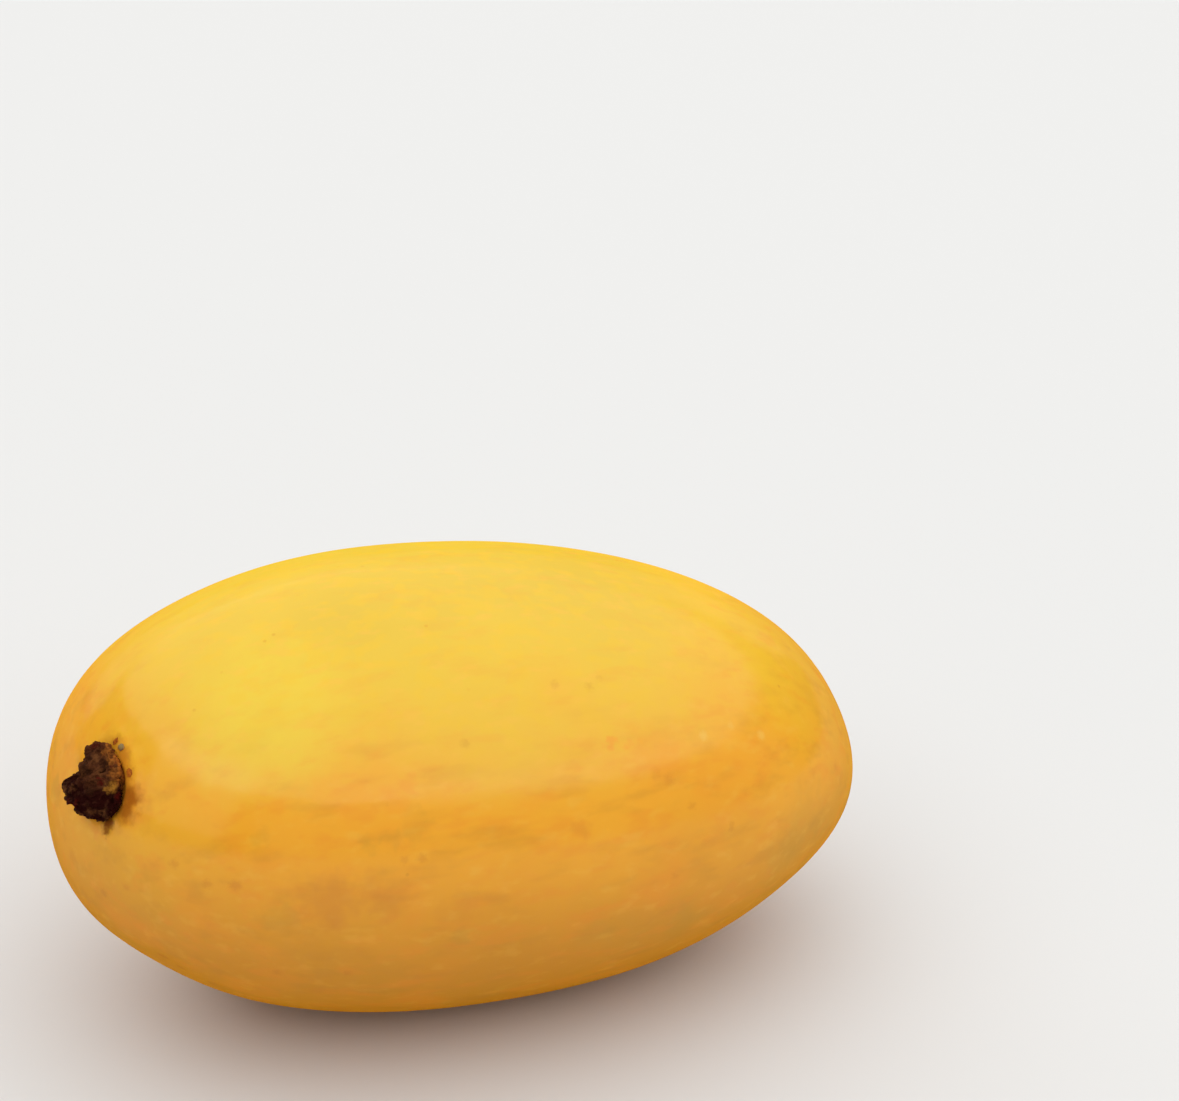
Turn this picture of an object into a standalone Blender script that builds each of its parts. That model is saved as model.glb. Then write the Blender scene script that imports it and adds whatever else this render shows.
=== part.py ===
"""A ripe yellow mango lying on its cheek, with the broken stub of its stalk.

Metres, +Z up. The fruit's length runs along X with the stem end at -X, and the origin is the middle of the
whole mango's footprint, on the surface that it rests on.
"""

import math

import bmesh
import bpy
from mathutils import Matrix, Vector, noise

MM = 0.001

# The fruit as it grew: X from the stem end to the apex, Y from the belly edge to the back, Z from cheek to
# cheek.
LENGTH = 115 * MM
WIDTH = 68.5 * MM
THICKNESS = 59.5 * MM
THICKNESS_TAPER = 0.09  # share of the thickness gained at the stem end and lost at the apex
STEM_END_POWER = 0.89  # 1 gives an ellipse's end, and less a blunter one
APEX_POWER = 0.93
FRUIT_RINGS = 52
FRUIT_SEGMENTS = 72

# Soft hollows and swells: the direction from the fruit's middle, the spread in radians and the height.
SWELLS = (
    ((-0.78, -0.29, -0.56), 0.26, -0.8 * MM),  # hollow below the stem end, on the belly side
    ((-0.65, 0.46, 0.61), 0.40, -0.7 * MM),  # flatter shoulder on the back
    ((0.71, -0.60, -0.37), 0.40, -1.0 * MM),  # the belly draws in before the apex
    ((0.95, -0.15, 0.29), 0.35, -1.1 * MM),  # flatter cap at the apex
    ((-0.98, 0.20, -0.05), 0.40, -0.6 * MM),  # flatter stem end
    ((-0.20, 0.97, -0.10), 0.60, 1.5 * MM),  # fuller back
)

# Where the stalk grew, as a direction from the fruit's middle, and the shallow dip round it.
STEM_DIRECTION = (-0.951, -0.218, 0.219)
STEM_DIP_DEPTH = 0.8 * MM
STEM_DIP_RADIUS = 8 * MM

# How the fruit lies: the apex dips, the belly edge drops a little, and the cheek settles on a flat spot.
APEX_DIP = math.radians(5.1)
BELLY_LEAN = math.radians(4.0)
FLAT_DEPTH = 0.9 * MM
FLAT_BLEND = 1.2 * MM

# The stub, in its own frame: Z out of the fruit, X up the skin. Each pair is a height and a radius in mm,
# from the middle of the broken end, down its sides and over the collar, to the middle of the root.
STUB_PROFILE = (
    (3.3, 0.0),
    (3.4, 1.4),
    (3.3, 2.6),
    (2.8, 3.1),
    (2.1, 3.4),
    (1.6, 3.9),
    (1.2, 4.7),
    (0.7, 5.1),
    (0.2, 4.9),
    (0.0, 4.3),
    (-0.7, 4.2),
    (-1.4, 4.0),
    (-1.5, 2.6),
    (-1.5, 0.0),
)
STUB_SEGMENTS = 40
STUB_RINGS = 28
STUB_STRETCH = (1.09, 0.84)  # longer up the skin than across it
STUB_LOBES = ((3, 0.08, 0.9), (7, 0.05, 2.1))  # count round the stub, share of its radius, turn in radians
COLLAR_TOP = 1.3 * MM
STUMP_BLEND = 2 * MM  # the height over which the broken end's shape comes in
STUMP_LEAN = (-0.10, 0.04)  # sideways for each unit of height above the collar
BREAK_SLOPE = 0.18  # the stalk broke off askew, and its lower side stands higher
SPLINTER_HEIGHT = 0.55 * MM
SPLINTER_GRAIN = 1.1 * MM
BARK_DEPTH = 0.45 * MM
BARK_GRAIN = 1.5 * MM
BARK_REACH = 2 * MM  # bark and knob fade out nearer the stub's axis than this
KNOB_TURN = math.radians(86)  # a broken side shoot: the way it points, round the stub from the upper side
KNOB_HEIGHT = 2.7 * MM
KNOB_REACH = 1.2 * MM
KNOB_SPREAD = (0.36, 0.9 * MM)  # round the stub and along it
STUB_TWIST = math.radians(30)  # of the whole stub, about its own axis
SOCKET_RADIUS = 4.6 * MM
SOCKET_DEPTH = 1.8 * MM


def material(name, colour, roughness):
    """A plain material: linear colour, no metal."""
    made = bpy.data.materials.new(name)
    made.use_nodes = True
    shader = made.node_tree.nodes["Principled BSDF"]
    shader.inputs["Base Color"].default_value = (*colour, 1)
    shader.inputs["Roughness"].default_value = roughness
    shader.inputs["Metallic"].default_value = 0
    return made


def new_object(name, shape, collection):
    """An object from a bmesh, which is freed."""
    mesh = bpy.data.meshes.new(name)
    shape.to_mesh(mesh)
    shape.free()
    mesh.shade_smooth()
    made = bpy.data.objects.new(name, mesh)
    collection.objects.link(made)
    return made


def skin_point(direction):
    """The place on the growing fruit's skin that lies this way from its middle."""
    along = direction.x
    around = math.sqrt(max(0.0, 1 - along * along))
    power = STEM_END_POWER if along < 0 else APEX_POWER
    x = math.copysign(abs(along) ** power, along)
    girth = max(around, 1e-9) ** (power - 1)
    point = Vector((
        x * LENGTH / 2,
        direction.y * girth * WIDTH / 2,
        direction.z * girth * THICKNESS / 2 * (1 - THICKNESS_TAPER * x),
    ))
    for place, spread, height in SWELLS:
        off = direction.angle(Vector(place)) / spread
        point += direction * height * math.exp(-off * off)
    return point


def stem_frame():
    """The growing fruit's frame at the stalk: Z out along the skin's normal, X up the skin."""
    out = Vector(STEM_DIRECTION).normalized()
    step = 0.01
    sideways = out.cross(Vector((0, 0, 1))).normalized() * step
    upward = sideways.cross(out).normalized() * step
    across = skin_point((out + sideways).normalized()) - skin_point((out - sideways).normalized())
    up = skin_point((out + upward).normalized()) - skin_point((out - upward).normalized())
    normal = up.cross(across).normalized()
    if normal.dot(out) < 0:
        normal.negate()
    x_axis = (up - normal * up.dot(normal)).normalized()
    y_axis = normal.cross(x_axis)
    frame = Matrix((x_axis, y_axis, normal)).transposed().to_4x4()
    frame.translation = skin_point(out)
    return frame


def build_fruit(collection, lay, stem):
    """Skin and flesh: a sphere shaped by the fruit's formula, laid down and settled on its flat spot."""
    shape = bmesh.new()
    poles_on_x = Matrix.Rotation(math.radians(90), 4, "Y")
    bmesh.ops.create_uvsphere(
        shape, u_segments=FRUIT_SEGMENTS, v_segments=FRUIT_RINGS, radius=1, matrix=poles_on_x
    )
    for vertex in shape.verts:
        point = skin_point(vertex.co.normalized())
        off = (point - stem.translation).length / STEM_DIP_RADIUS
        point -= stem.col[2].to_3d() * STEM_DIP_DEPTH * math.exp(-off * off)
        vertex.co = lay @ point
    ground = min(vertex.co.z for vertex in shape.verts) + FLAT_DEPTH
    for vertex in shape.verts:
        rise = min(max((vertex.co.z - ground) / FLAT_BLEND, 0), 1)
        if rise < 1:
            vertex.co.z = ground + FLAT_BLEND * rise * rise * (2 - rise)
    bmesh.ops.recalc_face_normals(shape, faces=shape.faces)
    fruit = new_object("fruit", shape, collection)
    fruit.data.materials.append(material("mango_skin", (0.86, 0.46, 0.06), 0.42))
    return fruit, ground


def profile_at(share):
    """Height and radius of the stub's outline at a share of the way from its broken end to its root."""
    place = share * (len(STUB_PROFILE) - 1)
    first = min(int(place), len(STUB_PROFILE) - 2)
    part = place - first
    pairs = zip(STUB_PROFILE[first], STUB_PROFILE[first + 1])
    return [(a + (b - a) * part) * MM for a, b in pairs]


def stub_point(direction):
    """The place on the stub of a unit direction: its polar angle runs down the profile."""
    turn = math.atan2(direction.y, direction.x)
    height, radius = profile_at(math.acos(max(-1, min(1, direction.z))) / math.pi)
    if height > 0:
        lobes = sum(share * math.cos(count * turn + start) for count, share, start in STUB_LOBES)
        place = Vector((radius * math.cos(turn), radius * math.sin(turn), height / 2))
        bark = noise.noise(place / BARK_GRAIN)
        knob_off = math.remainder(turn - KNOB_TURN, math.tau) / KNOB_SPREAD[0]
        knob_rise = (height - KNOB_HEIGHT) / KNOB_SPREAD[1]
        knob = KNOB_REACH * math.exp(-knob_off * knob_off - knob_rise * knob_rise)
        radius += radius * lobes + (BARK_DEPTH * bark + knob) * min(1, radius / BARK_REACH)
    x = radius * math.cos(turn) * STUB_STRETCH[0]
    y = radius * math.sin(turn) * STUB_STRETCH[1]
    above = max(0, height - COLLAR_TOP)
    stump = min(1, above / STUMP_BLEND)
    splinter = noise.noise(Vector((x, y, 0)) / SPLINTER_GRAIN) * SPLINTER_HEIGHT
    return Vector((
        x + STUMP_LEAN[0] * above,
        y + STUMP_LEAN[1] * above,
        height + stump * (splinter - BREAK_SLOPE * x),
    ))


def build_stub(collection, frame):
    """The stalk's broken end: a lobed collar and a ragged, leaning stump with a knob on its side."""
    shape = bmesh.new()
    bmesh.ops.create_uvsphere(shape, u_segments=STUB_SEGMENTS, v_segments=STUB_RINGS, radius=1)
    for vertex in shape.verts:
        vertex.co = stub_point(vertex.co.normalized())
    stub = new_object("stem_stub", shape, collection)
    stub.data.materials.append(material("dry_stalk", (0.045, 0.022, 0.014), 0.8))
    stub.matrix_world = frame
    return stub


def cut_socket(fruit, frame, collection):
    """The plain hole that the stub's root stands in, cut through the skin and applied."""
    shape = bmesh.new()
    length = 3 * SOCKET_DEPTH
    outward = Matrix.Translation((0, 0, length / 2 - SOCKET_DEPTH))
    bmesh.ops.create_cone(
        shape,
        cap_ends=True,
        segments=STUB_SEGMENTS,
        radius1=SOCKET_RADIUS,
        radius2=SOCKET_RADIUS,
        depth=length,
        matrix=frame @ outward @ Matrix.Diagonal((*STUB_STRETCH, 1, 1)),
    )
    cutter = new_object("socket_cutter", shape, collection)
    cut = fruit.modifiers.new("socket", "BOOLEAN")
    cut.operation = "DIFFERENCE"
    cut.object = cutter
    bpy.context.view_layer.update()
    graph = bpy.context.evaluated_depsgraph_get()
    fruit.data = bpy.data.meshes.new_from_object(fruit.evaluated_get(graph))
    fruit.modifiers.clear()
    bpy.data.objects.remove(cutter)


def main():
    for old in list(bpy.data.objects):
        bpy.data.objects.remove(old)
    collection = bpy.data.collections.new("mango")
    bpy.context.scene.collection.children.link(collection)

    lay = Matrix.Rotation(APEX_DIP, 4, "Y") @ Matrix.Rotation(BELLY_LEAN, 4, "X")
    grown = stem_frame()
    fruit, ground = build_fruit(collection, lay, grown)
    dip = Matrix.Translation((0, 0, -STEM_DIP_DEPTH))
    frame = lay @ grown @ dip @ Matrix.Rotation(STUB_TWIST, 4, "Z")
    cut_socket(fruit, frame, collection)
    stub = build_stub(collection, frame)

    bpy.context.view_layer.update()
    corners = [obj.matrix_world @ vertex.co for obj in (fruit, stub) for vertex in obj.data.vertices]
    middle = [(min(c[i] for c in corners) + max(c[i] for c in corners)) / 2 for i in (0, 1)]
    shift = Matrix.Translation((-middle[0], -middle[1], -ground))
    fruit.data.transform(shift)
    stub.matrix_world = shift @ stub.matrix_world


main()
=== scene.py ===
import math

import bmesh
import bpy
from mathutils import Matrix, Vector, noise
from mathutils.bvhtree import BVHTree


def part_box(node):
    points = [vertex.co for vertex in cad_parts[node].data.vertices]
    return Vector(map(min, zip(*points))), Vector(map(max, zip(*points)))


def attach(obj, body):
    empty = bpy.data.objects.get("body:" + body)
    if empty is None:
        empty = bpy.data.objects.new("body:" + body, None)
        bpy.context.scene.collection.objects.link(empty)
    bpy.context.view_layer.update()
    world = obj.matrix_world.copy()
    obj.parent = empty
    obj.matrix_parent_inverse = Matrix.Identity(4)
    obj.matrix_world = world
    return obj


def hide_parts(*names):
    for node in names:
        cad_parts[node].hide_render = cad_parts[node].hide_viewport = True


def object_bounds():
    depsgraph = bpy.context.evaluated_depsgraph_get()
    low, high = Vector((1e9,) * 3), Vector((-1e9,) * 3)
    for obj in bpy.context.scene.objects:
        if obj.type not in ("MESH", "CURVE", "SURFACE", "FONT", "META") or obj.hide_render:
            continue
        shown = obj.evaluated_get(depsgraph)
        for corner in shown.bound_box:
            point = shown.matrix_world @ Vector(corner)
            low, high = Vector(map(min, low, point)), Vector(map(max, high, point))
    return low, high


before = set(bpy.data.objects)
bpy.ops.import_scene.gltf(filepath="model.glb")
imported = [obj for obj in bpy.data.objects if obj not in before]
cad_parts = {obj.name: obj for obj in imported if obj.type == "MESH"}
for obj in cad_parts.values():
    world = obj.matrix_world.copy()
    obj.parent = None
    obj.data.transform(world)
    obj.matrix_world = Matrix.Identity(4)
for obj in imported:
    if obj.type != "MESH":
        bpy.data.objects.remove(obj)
cad_low, cad_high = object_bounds()

# Skin and flesh: one oblong fruit, blunt at both ends and a little deeper towards the stalk, in a thin
# waxy skin that is drawn in where the stalk grew. It ripened lying on one cheek, which has settled
# to a flat spot.
MM = 0.001
LENGTH = 115 * MM
WIDTH = 68.5 * MM
THICKNESS = 59.5 * MM
THICKNESS_TAPER = 0.09
STEM_END_POWER = 0.89
APEX_POWER = 0.93
SWELLS = (  # soft swells and hollows: which way they lie from the middle, spread and height
    ((-0.78, -0.29, -0.56), 0.26, -0.8 * MM),
    ((-0.65, 0.46, 0.61), 0.40, -0.7 * MM),
    ((0.71, -0.60, -0.37), 0.40, -1.0 * MM),
    ((0.95, -0.15, 0.29), 0.35, -1.1 * MM),
    ((-0.98, 0.20, -0.05), 0.40, -0.6 * MM),
    ((-0.20, 0.97, -0.10), 0.60, 1.5 * MM),
)
STEM_DIRECTION = (-0.951, -0.218, 0.219)
STEM_DIP_DEPTH = 0.8 * MM
STEM_DIP_RADIUS = 8 * MM
STEM_REACH = 3 * STEM_DIP_RADIUS  # past this the stalk leaves no mark on the form
APEX_DIP = math.radians(5.1)
BELLY_LEAN = math.radians(4.0)
FLAT_DEPTH = 0.9 * MM
FLAT_BLEND = 1.2 * MM
SKIN_CUTS = 127  # across each face of the cube that is blown up into the fruit

UNDULATION = (19 * MM, 0.16 * MM)  # soft unevenness: how far apart its hollows are, and how deep
WRINKLE_GRAIN = (5.5 * MM, 1.5 * MM, 1.5 * MM)  # along the fruit, across it and up it
WRINKLE_DEPTH = 0.03 * MM
WRINKLE_PATCH = 4 * UNDULATION[0] / 3  # wrinkles are strong and weak in patches of this size
PUCKER_COUNT = 11  # faint folds that run out from the stalk
PUCKER_DEPTH = 0.07 * MM
PUCKER_FADE = 0.55  # how fast the folds fade on both sides of the ring, as a share of its radius
SCAR_RADIUS = 6.3 * MM  # the low ring of skin round the stalk's collar
SCAR_HEIGHT = 0.13 * MM
SCAR_WIDTH = 0.9 * MM
SCAR_WAVES = ((3, 1.1, 0.07), (7, 0.0, 0.03))  # out of round: waves, turn in radians and share
SEAT_RADIUS = 4.4 * MM  # under the collar the skin turns in, where the stalk's root goes
SEAT_DEPTH = 1.0 * MM
DENT = (Vector((-45.5, -14.9, -15.3)) * MM, 3.5 * MM, 0.35 * MM)  # a soft dent: place, reach, depth


def form_point(direction):
    """The place on the growing fruit's plain form that lies this way from its middle."""
    along = direction.x
    around = math.sqrt(max(0.0, 1 - along * along))
    power = STEM_END_POWER if along < 0 else APEX_POWER
    x = math.copysign(abs(along) ** power, along)
    girth = max(around, 1e-9) ** (power - 1)
    point = Vector((
        x * LENGTH / 2,
        direction.y * girth * WIDTH / 2,
        direction.z * girth * THICKNESS / 2 * (1 - THICKNESS_TAPER * x),
    ))
    for place, spread, height in SWELLS:
        off = direction.angle(Vector(place)) / spread
        point += direction * height * math.exp(-off * off)
    return point


def stem_frame():
    """The growing fruit's frame at the stalk: Z out along the skin's normal, X up the skin."""
    out = Vector(STEM_DIRECTION).normalized()
    step = 0.01
    sideways = out.cross(Vector((0, 0, 1))).normalized() * step
    upward = sideways.cross(out).normalized() * step
    across = form_point((out + sideways).normalized()) - form_point((out - sideways).normalized())
    up = form_point((out + upward).normalized()) - form_point((out - upward).normalized())
    normal = up.cross(across).normalized()
    if normal.dot(out) < 0:
        normal.negate()
    x_axis = (up - normal * up.dot(normal)).normalized()
    made = Matrix((x_axis, normal.cross(x_axis), normal)).transposed().to_4x4()
    made.translation = form_point(out)
    return made


def skin_sink(point, stem):
    """How far the skin lies below the plain form here: unevenness, wrinkles and the stalk's ring."""
    grain, depth = UNDULATION
    sink = depth * (0.5 + 0.5 * noise.noise(point / grain))
    wrinkle = Vector([value / size for value, size in zip(point, WRINKLE_GRAIN)])
    patch = 0.5 + 0.5 * noise.noise(point / WRINKLE_PATCH)
    sink += WRINKLE_DEPTH * patch * (1 + noise.noise(wrinkle))
    dent_place, dent_reach, dent_depth = DENT
    sink += dent_depth * math.exp(-((point - dent_place).length / dent_reach) ** 2)
    near = stem.inverted() @ point
    reach = math.hypot(near.x, near.y)
    if near.z > -STEM_DIP_RADIUS and reach < STEM_REACH:
        turn = math.atan2(near.y, near.x)
        wobble = 1 + sum(share * math.sin(waves * turn + start) for waves, start, share in SCAR_WAVES)
        off = reach / wobble
        fold = 0.5 + 0.5 * math.cos(PUCKER_COUNT * turn + 2 * noise.noise(point / SCAR_RADIUS))
        folds_fade = math.exp(-((off - SCAR_RADIUS) / (PUCKER_FADE * SCAR_RADIUS)) ** 2)
        sink += STEM_DIP_DEPTH * math.exp(-(near.length / STEM_DIP_RADIUS) ** 2)
        sink += PUCKER_DEPTH * fold * folds_fade
        sink -= SCAR_HEIGHT * math.exp(-((off - SCAR_RADIUS) / SCAR_WIDTH) ** 2)
        sink += SEAT_DEPTH * min(1, max(0, (SEAT_RADIUS - reach) / MM))
    return sink


stem = stem_frame()
lay = Matrix.Rotation(APEX_DIP, 4, "Y") @ Matrix.Rotation(BELLY_LEAN, 4, "X")
skin_shape = bmesh.new()
bmesh.ops.create_cube(skin_shape, size=2)
bmesh.ops.subdivide_edges(skin_shape, edges=skin_shape.edges, cuts=SKIN_CUTS, use_grid_fill=True)
for vertex in skin_shape.verts:
    even = [math.tan(value * math.pi / 4) for value in vertex.co]  # keeps the mesh even over the sphere
    direction = Vector(even).normalized()
    vertex.co = form_point(direction)
ground = min((lay @ vertex.co).z for vertex in skin_shape.verts) + FLAT_DEPTH
skin_shape.normal_update()
for vertex in skin_shape.verts:
    vertex.co = lay @ (vertex.co - vertex.normal * skin_sink(vertex.co, stem))
    rise = min(max((vertex.co.z - ground) / FLAT_BLEND, 0), 1)
    if rise < 1:
        vertex.co.z = ground + FLAT_BLEND * rise * rise * (2 - rise)

# The solid's box gives the skin its place on the ground.
fruit_low, fruit_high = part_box("fruit")
skin_low = Vector([min(vertex.co[axis] for vertex in skin_shape.verts) for axis in range(3)])
skin_high = Vector([max(vertex.co[axis] for vertex in skin_shape.verts) for axis in range(3)])
shift = (fruit_low + fruit_high - skin_low - skin_high) / 2
shift.z = fruit_low.z - skin_low.z
bmesh.ops.translate(skin_shape, verts=skin_shape.verts, vec=shift)
skin_shape.normal_update()
skin_tree = BVHTree.FromBMesh(skin_shape)


def finished(name, shape):
    """The shape as a smooth object of this name, in the scene."""
    mesh = bpy.data.meshes.new(name)
    shape.to_mesh(mesh)
    shape.free()
    mesh.shade_smooth()
    made = bpy.data.objects.new(name, mesh)
    bpy.context.scene.collection.objects.link(made)
    return made


MIX_FACTOR, MIX_FIRST, MIX_SECOND = 0, 6, 7  # the sockets of a Mix node that mixes colours
MIX_RESULT = 2


class Wire:
    """One socket of a material: sums on it write Math nodes, and node() makes any other kind."""

    def __init__(self, tree, socket=None):
        self.tree = tree
        self.socket = socket

    def node(self, kind, settings=None, inputs=None, output=0):
        made = self.tree.nodes.new("ShaderNode" + kind)
        for name, value in (settings or {}).items():
            setattr(made, name, value)
        for name, value in (inputs or {}).items():
            if isinstance(value, Wire):
                self.tree.links.new(value.socket, made.inputs[name])
            else:
                made.inputs[name].default_value = value
        return Wire(self.tree, made.outputs[output])

    def maths(self, operation, *values):
        return self.node("Math", {"operation": operation}, dict(enumerate(values)))

    def __add__(self, other):
        return self.maths("ADD", self, other)

    def __sub__(self, other):
        return self.maths("SUBTRACT", self, other)

    def __mul__(self, other):
        return self.maths("MULTIPLY", self, other)

    def __radd__(self, other):
        return self.maths("ADD", other, self)

    def __rsub__(self, other):
        return self.maths("SUBTRACT", other, self)

    def __rmul__(self, other):
        return self.maths("MULTIPLY", other, self)

    def between(self, low, high):
        """0 below low and 1 above high, with a soft change."""
        ends = {"Value": self, "From Min": low, "From Max": high}
        return self.node("MapRange", {"interpolation_type": "SMOOTHSTEP"}, ends)

    def tint(self, colour, mask):
        """This colour changed towards another by a mask."""
        first = self if self.socket else (1, 1, 1, 1)
        sides = {MIX_FACTOR: mask, MIX_FIRST: first, MIX_SECOND: colour}
        return self.node("Mix", {"data_type": "RGBA"}, sides, MIX_RESULT)


def new_material(name):
    """An empty material's wire, its Principled shader and the object's own coordinates."""
    made = bpy.data.materials.new(name)
    made.use_nodes = True
    wire = Wire(made.node_tree)
    return made, wire, made.node_tree.nodes["Principled BSDF"], wire.node("TexCoord", output="Object")


def rgb(red, green, blue):
    """A colour as a picture editor names it, turned to the linear value that a shader takes."""
    linear = [((value / 255 + 0.055) / 1.055) ** 2.4 for value in (red, green, blue)]
    return (*linear, 1)


MARK_CORE = 0.2  # the share of its reach over which a mark has its full strength
EDGE_GRAIN = 0.6  # how many grains an uneven edge has in the length that it is ragged by
EDGE_STRAY = 4  # how far the grains move the edge, in the same length


def marks(wire, place, spots, ragged):
    """One mask for marks that each have a place and reach in mm and a strength, with uneven edges."""
    noise_inputs = {"Vector": place, "Scale": EDGE_GRAIN / ragged, "Detail": 2.0}
    noisy = wire.node("TexNoise", {}, noise_inputs, "Color")
    noisy = wire.node("VectorMath", {"operation": "SUBTRACT"}, {0: noisy, 1: (0.5, 0.5, 0.5)})
    spread = (EDGE_STRAY * ragged, EDGE_STRAY * ragged, EDGE_STRAY * ragged)
    uneven = wire.node("VectorMath", {"operation": "MULTIPLY_ADD"}, {0: noisy, 1: spread, 2: place})
    mask = 0.0
    for spot, reach, strength in spots:
        ends = {0: uneven, 1: Vector(spot) * MM}
        away = wire.node("VectorMath", {"operation": "DISTANCE"}, ends, "Value")
        one = (1 - away.between(MARK_CORE * reach * MM, reach * MM)) * strength
        mask = wire.maths("MAXIMUM", one, mask)
    return mask


AMBER = rgb(240, 167, 38)
LEMON = rgb(230, 190, 50)
CROWN_LEMON = rgb(212, 176, 48)
LEMON_AND_PAINTED_HIGHLIGHT = rgb(233, 200, 52)
PAINTED_SHADE_AMBER = rgb(218, 156, 40)
OCHRE_AND_SHADE = rgb(214, 142, 28)
OLIVE = rgb(200, 143, 36)
BLUSH = rgb(238, 146, 34)
WARM_STREAK = rgb(232, 142, 34)
PALE_STREAK = rgb(243, 184, 62)
LOW_STREAK = rgb(196, 130, 32)
LEMON_MOTTLE = rgb(234, 188, 30)
PALE_FLECK = rgb(246, 182, 78)
PORE = rgb(204, 136, 44)
SPECK = rgb(186, 98, 20)
SAP_EDGE = rgb(226, 138, 40)
SAP_BROWN = rgb(164, 90, 20)
SAP_DARK = rgb(112, 46, 14)
LEMON_RISE = (38 * MM, 56 * MM)  # the heights between which amber turns to lemon
LEMON_MIDDLE = -17 * MM
LEMON_FADE = (18 * MM, 62 * MM)  # how far along the fruit from there lemon weakens
CROWN_RISE = (51 * MM, 62 * MM)  # the heights between which the very top turns greener
OCHRE_AND_SHADE_RISE = (16 * MM, 40 * MM)  # the heights between which ochre, darkened in part as painted shade on the lower side, turns to amber
# Brighter lemon patches. The first, high on the near cheek towards the stalk, is a painted highlight where
# the overhead light is strongest. The other two are the skin's own lemon.
LEMON_AND_HIGHLIGHT_PATCHES = (  # these and the marks below: place and reach in mm, and strength
    ((-33, -17, 51), 15.0, 0.8),
    ((-50, -16, 36), 17.0, 0.2),
    ((42, -10, 44), 20.0, 0.25),
)
SPECKS = (
    ((3.2, -21.9, 51.6), 0.9, 0.19),
    ((7.9, -22.2, 50.6), 0.9, 0.21),
    ((9.8, -21.0, 51.1), 0.7, 0.13),
    ((-11.1, -26.8, 48.3), 1.0, 0.21),
    ((-47.3, -21.3, 35.2), 1.0, 0.25),
    ((-44.0, -24.2, 33.2), 1.0, 0.25),
    ((-41.0, -26.0, 33.5), 1.1, 0.29),
    ((-18.9, -32.5, 36.5), 0.9, 0.25),
    ((-21.0, -32.2, 36.5), 0.8, 0.17),
    ((-27.2, -29.4, 19.7), 0.9, 0.21),
    ((-35.4, -26.0, 19.7), 0.9, 0.21),
    ((-46.9, -15.1, 17.8), 1.4, 0.33),
    ((-44.7, -15.6, 16.0), 1.1, 0.33),
    ((-41.1, -17.5, 14.2), 1.3, 0.25),
    ((19.0, -31.5, 36.0), 0.9, 0.21),
    ((25.0, -31.4, 31.7), 0.9, 0.21),
    ((16.0, -33.8, 27.4), 0.9, 0.13),
    ((14.2, -30.1, 40.8), 1.2, 0.13),
    ((16.0, -30.4, 39.8), 1.2, 0.17),
    ((-53.7, -12.7, 27.5), 0.9, 0.21),
    ((-51.9, -16.3, 30.0), 0.9, 0.21),
    ((-55.9, -6.7, 29.8), 1.6, 0.17),
    ((24.0, 21.0, 45.0), 0.9, 0.25),
    ((-6.0, 27.0, 44.0), 0.8, 0.21),
    ((38.0, 8.0, 47.5), 0.8, 0.21),
    ((-29.0, 24.0, 42.0), 1.0, 0.21),
    ((46.0, 16.0, 24.0), 0.9, 0.21),
    ((56.9, 2.0, 24.0), 1.3, 0.50),
)
# Painted shade: the amber at the apex end is darkened where less light falls on it.
PAINTED_SHADE_APEX = (((52, -6, 36), 24.0, 0.6),)
ORANGE_SPOTS = (
    ((-19.4, -28.7, 45.0), 1.8, 0.3),
    ((-21.5, -29.4, 43.6), 3.0, 0.2),
    ((8.6, -28.0, 45.1), 1.4, 0.45),
    ((10.8, -28.1, 44.5), 1.4, 0.35),
    ((2.2, -33.4, 36.8), 2.2, 0.25),
    ((30.0, -27.0, 38.5), 6.0, 0.1),
    ((15.0, -28.8, 42.6), 6.0, 0.25),
    ((18.0, 25.0, 43.0), 4.0, 0.25),
)
OLIVE_PATCHES = (
    ((-35.5, -28.8, 29.2), 3.6, 0.3),
    ((-25.5, -30.7, 38.7), 1.8, 0.25),
    ((-22.8, -31.2, 38.6), 1.8, 0.2),
    ((-37.6, -26.4, 39.3), 2.0, 0.2),
    ((-19.6, -31.1, 40.3), 3.0, 0.2),
    ((-13.5, -33.7, 24.7), 2.6, 0.35),
    ((38.6, -26.9, 27.9), 7.0, 0.25),
    ((34.8, -28.6, 23.9), 6.0, 0.25),
    ((18.6, -32.1, 19.8), 3.5, 0.25),
    ((5.1, -33.8, 21.0), 4.0, 0.2),
    ((-55.9, 0.3, 35.8), 2.6, 0.4),
    ((-30.0, 26.0, 30.0), 5.0, 0.3),
    ((30.0, 28.0, 22.0), 6.0, 0.3),
)
RUSSET_PATCHES = (
    ((-30.2, -30.8, 31.4), 5.5, 0.5),
    ((-24.0, -31.6, 32.0), 4.5, 0.35),
    ((-14.0, -33.4, 29.0), 4.0, 0.2),
    ((2.3, -33.4, 36.6), 2.4, 0.25),
    ((10.0, 32.0, 30.0), 6.0, 0.35),
    ((-38.0, 20.0, 36.0), 4.0, 0.3),
)
PALE_DOTS = (
    ((32.3, -24.4, 40.3), 1.0, 0.35),
    ((22.7, -26.3, 42.9), 1.0, 0.35),
    ((27.6, -24.6, 42.6), 0.8, 0.25),
)
SKIN_MARKS = (  # colour, marks, and how ragged their edges are
    (rgb(238, 142, 36), ORANGE_SPOTS, 0.8 * MM),
    (rgb(196, 144, 40), OLIVE_PATCHES, 1.2 * MM),
    (rgb(204, 126, 36), RUSSET_PATCHES, 1.5 * MM),
    (rgb(246, 206, 100), PALE_DOTS, 0.2 * MM),
)
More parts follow.
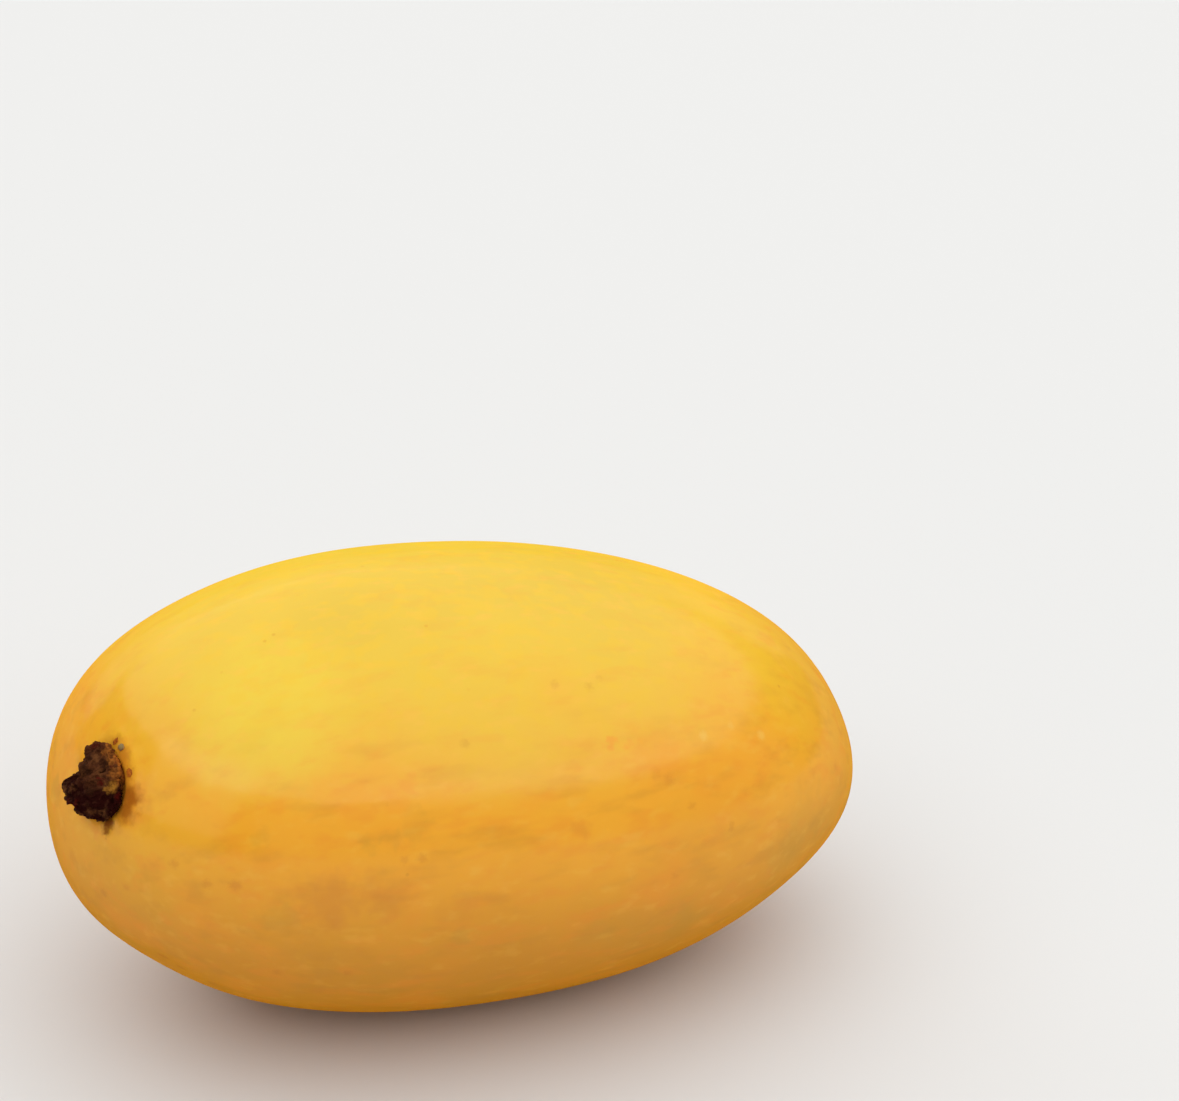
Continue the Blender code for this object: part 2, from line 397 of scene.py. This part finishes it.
SAP_STAIN = (  # where sap soaked in beside the stalk, ran down and browned the skin around
    ((-50.8, -13.7, 41.2), 3.1, 0.95),
    ((-51.2, -14.1, 39.8), 2.6, 0.85),
    ((-50.4, -12.4, 43.7), 1.6, 0.6),
    ((-50.4, -10.4, 45.1), 2.0, 0.4),
    ((-50.5, -8.3, 46.2), 1.3, 0.35),
)
SAP_RUN = (
    ((-53.0, -12.4, 37.4), 1.7, 0.9),
    ((-53.1, -12.6, 36.4), 1.2, 0.8),
)
SAP_HALO = (
    ((-51.2, -13.0, 41.2), 6.0, 0.6),
    ((-50.6, -10.2, 45.0), 3.2, 0.5),
    ((-54.2, -10.4, 36.6), 2.2, 0.5),
)
WAX = 0.34  # the share of the skin's surface that its wax makes glossy
BLOOM = (0.35, 0.95)  # the dull bloom on the wax shows where the skin is seen at a slant
BLOOM_SHARE = 0.88  # and how much of the shine it takes away at the edge


def skin_material():
    """Waxy mango skin: lemon above with a painted highlight, amber below, greenish ochre under the belly
    that is partly painted shade, an apex end darkened by painted shade, with pores and marks.
    """
    made, wire, shader, place = new_material("mango_skin")

    def cloud(size, detail=2.0, seed=0.0, stretch=(1, 1, 1)):
        spot = wire.node("Mapping", {}, {"Vector": place, "Location": (seed, seed, seed), "Scale": stretch})
        return wire.node("TexNoise", {}, {"Vector": spot, "Scale": 1 / size, "Detail": detail})

    def cells(size, seed=0.0, stretch=(1, 1, 1)):
        spot = wire.node("Mapping", {}, {"Vector": place, "Location": (seed, seed, seed), "Scale": stretch})
        return wire.node("TexVoronoi", {}, {"Vector": spot, "Scale": 1 / size})

    along = wire.node("SeparateXYZ", {}, {"Vector": place}, "X")
    up = wire.node("SeparateXYZ", {}, {"Vector": place}, "Z")
    drift = (cloud(22 * MM) - 0.5) * (14 * MM)
    level = up + drift + along * 0.07

    # In each layer of colour, the number after the mask is the layer's strength.
    ends = wire.maths("ABSOLUTE", along - LEMON_MIDDLE).between(*LEMON_FADE)
    lemon = level.between(*LEMON_RISE) * (1 - ends * 0.35)
    colour = wire.tint(AMBER, 1.0)
    colour = colour.tint(LEMON, lemon)
    colour = colour.tint(CROWN_LEMON, level.between(*CROWN_RISE) * 0.6)
    # A painted highlight high on the near cheek, with the skin's own brighter lemon patches.
    colour = colour.tint(LEMON_AND_PAINTED_HIGHLIGHT, marks(wire, place, LEMON_AND_HIGHLIGHT_PATCHES, 2 * MM))
    # Painted shade darkens the apex end.
    colour = colour.tint(PAINTED_SHADE_AMBER, marks(wire, place, PAINTED_SHADE_APEX, 2 * MM))
    # Darker ochre towards the bottom: partly the skin's duller underside, partly painted shade on the lower
    # side.
    ochre_and_shade = 1 - level.between(*OCHRE_AND_SHADE_RISE)
    colour = colour.tint(OCHRE_AND_SHADE, ochre_and_shade)

    olive = cloud(13 * MM, seed=0.31).between(0.45, 0.7) * (1 - level.between(20 * MM, 42 * MM))
    colour = colour.tint(OLIVE, olive * (along.between(-5 * MM, 45 * MM) * 0.6 + 0.25))
    blush = cloud(8 * MM, 2, 0.53, (0.6, 1, 1)).between(0.5, 0.78) * (1 - lemon)
    colour = colour.tint(BLUSH, blush * 0.45)

    warm_streaks = cloud(2.4 * MM, 3, 0.17, (0.35, 1, 1)).between(0.5, 0.72)
    colour = colour.tint(WARM_STREAK, warm_streaks * (0.34 - lemon * 0.2))
    pale_streaks = cloud(1.8 * MM, 3, 0.63, (0.5, 1, 1)).between(0.52, 0.74)
    colour = colour.tint(PALE_STREAK, pale_streaks * (0.3 - ochre_and_shade * 0.12))
    low_streaks = cloud(3 * MM, 3, 0.37, (0.3, 1, 1)).between(0.48, 0.74) * (1 - lemon)
    colour = colour.tint(LOW_STREAK, low_streaks * 0.3)
    mottle = cloud(2.2 * MM, 2, 0.11, (0.7, 1, 1)).between(0.46, 0.66) * lemon
    colour = colour.tint(LEMON_MOTTLE, mottle * 0.4)
    fleck_zone = cloud(15 * MM, seed=0.83).between(0.42, 0.62) * (1 - up.between(40 * MM, 50 * MM))
    flecks = (1 - cells(3.6 * MM, 0.21, (0.6, 1, 1)).between(0.08, 0.2)) * fleck_zone
    colour = colour.tint(PALE_FLECK, flecks * 0.06)

    for paint, spots, ragged in SKIN_MARKS:
        colour = colour.tint(paint, marks(wire, place, spots, ragged))
    pore = 1 - cells(3.8 * MM).between(0.03, 0.09)
    colour = colour.tint(PORE, pore * cloud(12 * MM, seed=0.7).between(0.4, 0.7) * 0.45)
    colour = colour.tint(SPECK, marks(wire, place, SPECKS, 0.3 * MM))
    colour = colour.tint(SAP_EDGE, marks(wire, place, SAP_HALO, 0.9 * MM))
    stain = marks(wire, place, SAP_STAIN, 0.7 * MM)
    colour = colour.tint(SAP_BROWN, stain)
    run = marks(wire, place, SAP_RUN, 0.35 * MM)
    colour = colour.tint(SAP_DARK, run)

    wire.tree.links.new(colour.socket, shader.inputs["Base Color"])
    grain = cloud(0.6 * MM, 3, 0.4)
    rough = cloud(6 * MM, 3, 0.9).between(0.3, 0.7) * 0.08 + 0.30
    wire.tree.links.new(rough.socket, shader.inputs["Roughness"])
    edge = wire.node("LayerWeight", {}, {"Blend": 0.5}, "Facing").between(*BLOOM)
    soaked = wire.maths("MAXIMUM", stain, run) * 0.9  # dried sap has no shine
    wax = (1.12 - grain * 0.25 - pore * 0.5) * (WAX - edge * (BLOOM_SHARE * WAX)) * (1 - soaked)
    wire.tree.links.new(wax.socket, shader.inputs["Coat Weight"])
    height = grain + warm_streaks * 0.6 - pore * 0.7
    bump = wire.node("Bump", {}, {"Height": height, "Strength": 0.14, "Distance": 0.1 * MM})
    wire.tree.links.new(bump.socket, shader.inputs["Normal"])
    shader.inputs["Specular IOR Level"].default_value = 0.0
    shader.inputs["Coat IOR"].default_value = 1.85
    shader.inputs["Coat Roughness"].default_value = 0.17
    shader.inputs["Subsurface Weight"].default_value = 0.12
    shader.inputs["Subsurface Scale"].default_value = 3 * MM
    shader.inputs["Subsurface Radius"].default_value = (1.0, 0.5, 0.15)
    return made


skin = finished("fruit_skin", skin_shape)
skin.data.materials.append(skin_material())
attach(skin, "root")
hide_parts("fruit")

# The stalk's broken stub: dry, woody and nearly black, with a lobed collar, a ragged end that snapped off
# askew and the knob of a side shoot. It grew with the fruit, so its collar sits tight in the skin.
STUB_LEVELS = 3  # how many times the solid's faces are divided
STUB_ROUNDING = 0.3  # how much each level rounds the solid's edges
STUB_RELIEF = ((1.5 * MM, 0.20 * MM), (0.55 * MM, 0.13 * MM), (0.26 * MM, 0.07 * MM))  # grain and height
FIBRE = (0.55 * MM, 2.6 * MM)  # the torn wood's fibres: thickness and length
FIBRE_HEIGHT = 0.13 * MM
FIBRE_EDGE = 4  # how steeply a fibre falls away from its crest
STUB_PUSHES = (  # where the bark leans, sags or is chipped back: place, reach and how far it moved, in mm
    ((-51.7, -7.3, 46.8), 1.0, (-0.53, 0.05, -0.83)),
    ((-53.4, -5.8, 44.5), 0.9, (-0.13, 0.25, 0.36)),
    ((-54.6, -6.1, 42.8), 1.0, (0.92, -0.42, 0.05)),
    ((-55.8, -7.8, 42.8), 0.8, (0.47, -0.28, -0.10)),
    ((-57.0, -7.7, 40.8), 0.9, (-0.11, 0.73, -0.31)),
    ((-57.1, -9.5, 39.9), 0.8, (-0.19, 1.21, -0.36)),
    ((-56.5, -10.7, 39.0), 0.9, (0.17, 0.49, 1.10)),
    ((-55.7, -9.8, 37.0), 1.0, (0.37, -0.04, 1.01)),
    ((-54.9, -11.4, 36.8), 1.1, (0.30, 0.45, 1.10)),
    ((-54.2, -13.2, 36.6), 1.1, (0.46, 0.51, 1.49)),
    ((-52.7, -13.5, 37.7), 1.1, (-0.11, 0.78, 0.56)),
    ((-51.9, -14.6, 39.4), 1.1, (-0.24, 0.81, 0.27)),
    ((-50.7, -12.5, 40.9), 1.3, (0.34, 1.30, -0.63)),
    ((-50.5, -9.3, 44.6), 1.0, (-0.07, 0.47, -0.20)),
    ((-50.4, -10.2, 44.4), 1.3, (0.30, 0.10, -0.13)),
    ((-50.6, -12.4, 42.2), 1.3, (0.30, 0.10, -0.13)),
)
STUB_PITS = (  # place, reach and depth in mm
    ((-53.0, -10.9, 44.2), 0.55, 0.7),
    ((-54.4, -10.3, 43.7), 0.40, 0.4),
    ((-53.8, -7.6, 44.2), 0.45, 0.4),
    ((-55.8, -8.6, 42.2), 0.35, 0.4),
    ((-56.9, -9.4, 40.2), 0.30, 0.3),
    ((-52.7, -13.6, 41.0), 0.50, 0.5),
    ((-54.4, -11.8, 42.7), 0.40, 0.4),
    ((-53.8, -9.7, 44.5), 0.30, 0.3),
    ((-55.3, -10.2, 39.6), 0.60, 0.6),
)
NEAR_BLACK = rgb(36, 8, 5)
DARK_BARK = rgb(62, 32, 20)
PAINTED_LIGHT_BARK = rgb(84, 47, 25)
PALE_BARK = rgb(104, 64, 34)
CORK_BROWN = rgb(172, 102, 36)
PIT_SHADE_BROWN = rgb(48, 24, 12)
TORN_RED = rgb(80, 14, 10)
BARE_WOOD = rgb(154, 104, 36)
PAINTED_LIGHT_RISE = (41.6 * MM, 43.6 * MM)  # the heights between which the bark turns browner, as painted light from above
BARK_PATCHES = (  # paler bark: place and reach in mm, and strength
    ((-53.4, -9.2, 44.9), 0.9, 0.8),
    ((-55.0, -9.1, 43.2), 0.9, 0.6),
    ((-56.6, -9.4, 41.4), 0.8, 0.7),
    ((-57.2, -7.9, 40.4), 1.2, 0.9),
    ((-53.5, -11.0, 43.9), 0.9, 0.6),
    ((-53.1, -12.2, 42.8), 0.8, 0.5),
    ((-55.2, -13.0, 39.6), 0.9, 0.6),
    ((-53.7, -13.3, 39.5), 0.9, 0.7),
    ((-52.3, -10.7, 45.0), 0.8, 0.7),
    ((-53.2, -13.7, 38.5), 0.8, 0.7),
    ((-54.4, -12.2, 37.6), 0.8, 0.8),
    ((-54.9, -10.2, 37.0), 0.9, 0.9),
    ((-55.5, -9.1, 37.3), 0.9, 0.9),
    ((-53.3, -11.7, 36.9), 0.8, 0.7),
)
CORK = (  # the corky collar, where thin brown bark turns to skin
    ((-51.2, -8.5, 46.1), 0.9, 0.9),
    ((-51.7, -9.6, 46.0), 0.8, 0.7),
    ((-51.0, -10.2, 45.5), 1.1, 0.9),
    ((-50.9, -10.9, 44.7), 1.2, 1.0),
    ((-51.0, -12.2, 44.1), 1.1, 0.9),
    ((-51.4, -12.6, 43.1), 0.9, 0.7),
    ((-50.9, -11.8, 41.6), 0.9, 0.7),
    ((-50.4, -11.5, 42.8), 1.4, 0.9),
    ((-50.3, -10.6, 44.0), 1.4, 0.9),
    ((-51.2, -12.7, 39.6), 0.9, 0.7),
    ((-52.0, -9.5, 45.9), 1.1, 0.5),
    ((-51.9, -10.8, 45.1), 1.1, 0.55),
    ((-52.1, -12.0, 44.0), 1.0, 0.45),
)
# Painted shade: darker brown in the stub's pits and hollows.
PAINTED_PIT_SHADE = (
    ((-52.6, -10.3, 44.5), 0.9, 0.9),
    ((-54.2, -8.6, 44.9), 1.0, 0.9),
    ((-53.6, -7.7, 45.5), 0.9, 0.8),
    ((-54.9, -9.3, 44.0), 1.0, 0.8),
    ((-54.8, -10.0, 43.6), 0.9, 0.8),
    ((-55.2, -12.5, 42.5), 1.1, 0.9),
)
RED_EDGES = (
    ((-52.7, -8.0, 46.2), 0.9, 0.9),
    ((-53.0, -7.4, 45.6), 0.8, 0.7),
    ((-52.5, -9.2, 45.3), 0.5, 0.8),
    ((-52.0, -11.5, 44.7), 0.6, 0.9),
    ((-53.6, -11.7, 43.1), 0.8, 0.9),
    ((-51.9, -13.6, 41.2), 0.8, 0.8),
    ((-51.6, -13.0, 41.5), 0.7, 0.7),
    ((-56.9, -9.6, 39.3), 0.9, 0.8),
    ((-56.7, -11.5, 40.4), 0.6, 0.5),
)
GOLD_CHIPS = (
    ((-52.4, -12.8, 42.4), 1.0, 1.0),
    ((-52.0, -12.7, 42.7), 0.7, 0.9),
    ((-53.0, -12.7, 42.2), 0.7, 0.7),
)


def merged_copy(node):
    """A CAD node's own shape as a new bmesh, with its loose triangles joined."""
    shape = bmesh.new()
    shape.from_mesh(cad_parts[node].data)
    bmesh.ops.remove_doubles(shape, verts=shape.verts, dist=0.001 * MM)
    return shape


def stub_height(place, inward):
    """How far the dry stub stands out or in here: lumps, crumbs, torn fibres along it, and pits."""
    height = sum(size * noise.noise(place / grain) for grain, size in STUB_RELIEF)
    near = inward @ place
    thickness, length = FIBRE
    strand = Vector((near.x / thickness, near.y / thickness, near.z / length))
    height += FIBRE_HEIGHT * (1 - FIBRE_EDGE * abs(noise.noise(strand)))
    for spot, reach, depth in STUB_PITS:
        off = (place - Vector(spot) * MM).length / (reach * MM)
        height -= depth * MM * math.exp(-off * off)
    return height


def stub_material():
    """Dry bark: nearly black, browner towards the top as painted light, with paler brown bark, painted
    shade in its pits, red-brown torn edges and golden chips of bare wood.
    """
    made, wire, shader, place = new_material("dry_stalk")
    coarse = wire.node("TexNoise", {}, {"Vector": place, "Scale": 1 / (0.9 * MM), "Detail": 4.0})
    fine = wire.node("TexNoise", {}, {"Vector": place, "Scale": 1 / (0.28 * MM), "Detail": 3.0})
    colour = wire.tint(NEAR_BLACK, 1.0)
    up = wire.node("SeparateXYZ", {}, {"Vector": place}, "Z")
    colour = colour.tint(DARK_BARK, coarse.between(0.50, 0.66) * 0.7)
    # Painted light: the bark turns browner towards the top, where light falls from above. The nearly black
    # bark left below is partly painted shade.
    painted_light = (up + (coarse - 0.5) * (1.5 * MM)).between(*PAINTED_LIGHT_RISE)
    colour = colour.tint(PAINTED_LIGHT_BARK, painted_light * (fine.between(0.3, 0.6) * 0.5 + 0.4))
    grainy = fine.between(0.3, 0.6) * 0.5 + 0.5
    colour = colour.tint(PALE_BARK, marks(wire, place, BARK_PATCHES, 0.4 * MM) * grainy)
    colour = colour.tint(CORK_BROWN, marks(wire, place, CORK, 0.4 * MM) * grainy)
    # Painted shade darkens the pits.
    colour = colour.tint(PIT_SHADE_BROWN, marks(wire, place, PAINTED_PIT_SHADE, 0.3 * MM))
    torn = marks(wire, place, RED_EDGES, 0.4 * MM) * coarse.between(0.3, 0.55)
    colour = colour.tint(TORN_RED, torn)
    colour = colour.tint(BARE_WOOD, marks(wire, place, GOLD_CHIPS, 0.3 * MM) * grainy)
    wire.tree.links.new(colour.socket, shader.inputs["Base Color"])
    rough = fine * 0.25 + 0.7
    wire.tree.links.new(rough.socket, shader.inputs["Roughness"])
    bump = wire.node("Bump", {}, {"Height": fine, "Strength": 0.8, "Distance": 0.12 * MM})
    wire.tree.links.new(bump.socket, shader.inputs["Normal"])
    shader.inputs["Specular IOR Level"].default_value = 0.02
    return made


stub_shape = merged_copy("stem_stub")
for _ in range(STUB_LEVELS):
    edges = stub_shape.edges
    bmesh.ops.subdivide_edges(stub_shape, edges=edges, cuts=1, smooth=STUB_ROUNDING, use_grid_fill=True)
stub_shape.normal_update()
into_stalk = (Matrix.Translation(shift) @ lay @ stem).inverted()
for vertex in stub_shape.verts:
    vertex.co += vertex.normal * stub_height(vertex.co, into_stalk)
    push = Vector()
    for spot, reach, way in STUB_PUSHES:
        off = (vertex.co - Vector(spot) * MM).length / (reach * MM)
        push += Vector(way) * MM * math.exp(-off * off)
    vertex.co += push
    vertex.co.x = max(vertex.co.x, cad_low.x)
stub = finished("stalk_stub", stub_shape)
stub.data.materials.append(stub_material())
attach(stub, "root")
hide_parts("stem_stub")

# Crumbs beside the stalk: two beads of its sap that set hard on the skin, and a grey flake of its bark.
# They stuck where they fell when the stalk broke off.
CRUMBS = (  # place, half sizes in mm and turn in degrees
    ((-50.2, -9.4, 46.0), (0.62, 0.46, 0.20), 20),
    ((-50.5, -8.1, 46.2), (0.52, 0.34, 0.13), 70),
    ((-50.1, -12.4, 43.9), (0.56, 0.46, 0.15), -30),
)
CRUMB_ROUGHNESS = 0.30
CRUMB_LEVELS = 4  # how finely each crumb's ball is divided
CRUMB_LUMPS = 1.6  # how many lumps go to half a crumb's width
BEAD_AMBER = rgb(182, 100, 28)
BEAD_BROWN = rgb(134, 66, 20)
FLAKE_PALE = rgb(150, 128, 80)
FLAKE_GREY = rgb(92, 84, 66)
BARK_FLAKE = (((-50.2, -9.4, 46.2), 1.0, 1.0),)


def crumb_material():
    """Hard sap and bark: amber-brown beads and one greenish grey flake."""
    made, wire, shader, place = new_material("dried_sap")
    fine = wire.node("TexNoise", {}, {"Vector": place, "Scale": 1 / (0.3 * MM), "Detail": 3.0})
    colour = wire.tint(BEAD_AMBER, 1.0)
    colour = colour.tint(BEAD_BROWN, fine.between(0.4, 0.7))
    flake = marks(wire, place, BARK_FLAKE, 0.1 * MM)
    colour = colour.tint(FLAKE_PALE, flake)
    colour = colour.tint(FLAKE_GREY, flake * fine.between(0.4, 0.65))
    wire.tree.links.new(colour.socket, shader.inputs["Base Color"])
    rough = fine * 0.3 + 0.4
    wire.tree.links.new(rough.socket, shader.inputs["Roughness"])
    shader.inputs["Specular IOR Level"].default_value = 0.05
    return made


crumb_shape = bmesh.new()
for place, sizes, turn in CRUMBS:
    seat, outward, _, _ = skin_tree.find_nearest(Vector(place) * MM)
    stand = Matrix.Translation(seat) @ outward.to_track_quat("Z", "Y").to_matrix().to_4x4()
    stand = stand @ Matrix.Rotation(math.radians(turn), 4, "Z")
    stand = stand @ Matrix.Diagonal((*[size * MM for size in sizes], 1))
    made = bmesh.ops.create_icosphere(crumb_shape, subdivisions=CRUMB_LEVELS, radius=1)
    for vertex in made["verts"]:
        vertex.co *= 1 + CRUMB_ROUGHNESS * noise.noise(vertex.co * CRUMB_LUMPS + Vector(place))
        vertex.co = stand @ vertex.co
crumbs = finished("sap_crumbs", crumb_shape)
crumbs.data.materials.append(crumb_material())
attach(crumbs, "root")

# The studio: a plain pale floor under a wide oval soft light, with three weaker ones behind, in front and
# at the stalk's side. A long lens looks down on the fruit, at the photograph's angle and with its framing.
FLOOR_SIZE = 12.0
FLOOR_GREY = (0.70, 0.70, 0.69, 1)
AIR_LIGHT = (1, 0.99, 0.97, 1)
AIR_STRENGTH = 0.2
FRUIT_HEART = (0, 0, 0.03)
LIGHTS = (  # name, outline, place, width and depth, power in watts, and the place that it faces
    ("overhead_light", "ELLIPSE", (0.3, 0.3, 0.9), (3.2, 4.2), 38.5, (0.3, 0.3, 0)),
    ("back_light", "RECTANGLE", (0.4, 2.3, 0.55), (5.0, 0.9), 12.5, FRUIT_HEART),
    ("front_light", "RECTANGLE", (0.6, -1.3, 0.45), (4.4, 1.1), 4.8, FRUIT_HEART),
    ("side_light", "RECTANGLE", (-1.85, -0.8, 1.05), (2.0, 1.7), 7.0, FRUIT_HEART),
)
FRAME_WIDTH, FRAME_HEIGHT = 1179, 1101
LENS = 100.0
SENSOR = 36.0
VIEW_TURN = math.radians(-26.0)
VIEW_RISE = math.radians(25.0)
VIEW_ROLL = math.radians(3.0)
AIM = Vector((0.481, -0.681, 28.901)) * MM  # a place in the fruit, and the pixel where it is seen
AIM_PIXEL = (465.04, 768.57)
PIXELS_PER_METRE = 7408  # at that place

floor_shape = bmesh.new()
bmesh.ops.create_grid(floor_shape, x_segments=1, y_segments=1, size=FLOOR_SIZE / 2)
floor = finished("floor", floor_shape)
floor_paint, _, floor_shader, _ = new_material("pale_floor")
floor_shader.inputs["Base Color"].default_value = FLOOR_GREY
floor_shader.inputs["Roughness"].default_value = 0.9
floor.data.materials.append(floor_paint)

world = bpy.data.worlds.new("studio")
world.use_nodes = True
world.node_tree.nodes["Background"].inputs["Color"].default_value = AIR_LIGHT
world.node_tree.nodes["Background"].inputs["Strength"].default_value = AIR_STRENGTH
bpy.context.scene.world = world
bpy.context.scene.view_settings.view_transform = "Standard"

for name, outline, place, size, power, target in LIGHTS:
    light = bpy.data.lights.new(name, "AREA")
    light.shape = outline
    light.size, light.size_y = size
    light.energy = power
    lamp = bpy.data.objects.new(name, light)
    lamp.location = place
    lamp.rotation_euler = (Vector(place) - Vector(target)).to_track_quat("Z", "Y").to_euler()
    bpy.context.scene.collection.objects.link(lamp)

back = Vector((
    math.sin(VIEW_TURN) * math.cos(VIEW_RISE),
    -math.cos(VIEW_TURN) * math.cos(VIEW_RISE),
    math.sin(VIEW_RISE),
))
right = Vector((math.cos(VIEW_TURN), math.sin(VIEW_TURN), 0))
above = back.cross(right)
focal = FRAME_WIDTH * LENS / SENSOR
off_x = AIM_PIXEL[0] - FRAME_WIDTH / 2
off_y = AIM_PIXEL[1] - FRAME_HEIGHT / 2
level_x = (math.cos(VIEW_ROLL) * off_x + math.sin(VIEW_ROLL) * off_y) / focal
level_y = (math.sin(VIEW_ROLL) * off_x - math.cos(VIEW_ROLL) * off_y) / focal
distance = focal / PIXELS_PER_METRE
camera_data = bpy.data.cameras.new("camera")
camera_data.lens = LENS
camera_data.sensor_width = SENSOR
camera = bpy.data.objects.new("camera", camera_data)
rolled_right = right * math.cos(VIEW_ROLL) + above * math.sin(VIEW_ROLL)
rolled_up = above * math.cos(VIEW_ROLL) - right * math.sin(VIEW_ROLL)
camera.matrix_world = Matrix((rolled_right, rolled_up, back)).transposed().to_4x4()
camera.location = AIM + (back - right * level_x - above * level_y) * distance
bpy.context.scene.collection.objects.link(camera)
bpy.context.scene.camera = camera
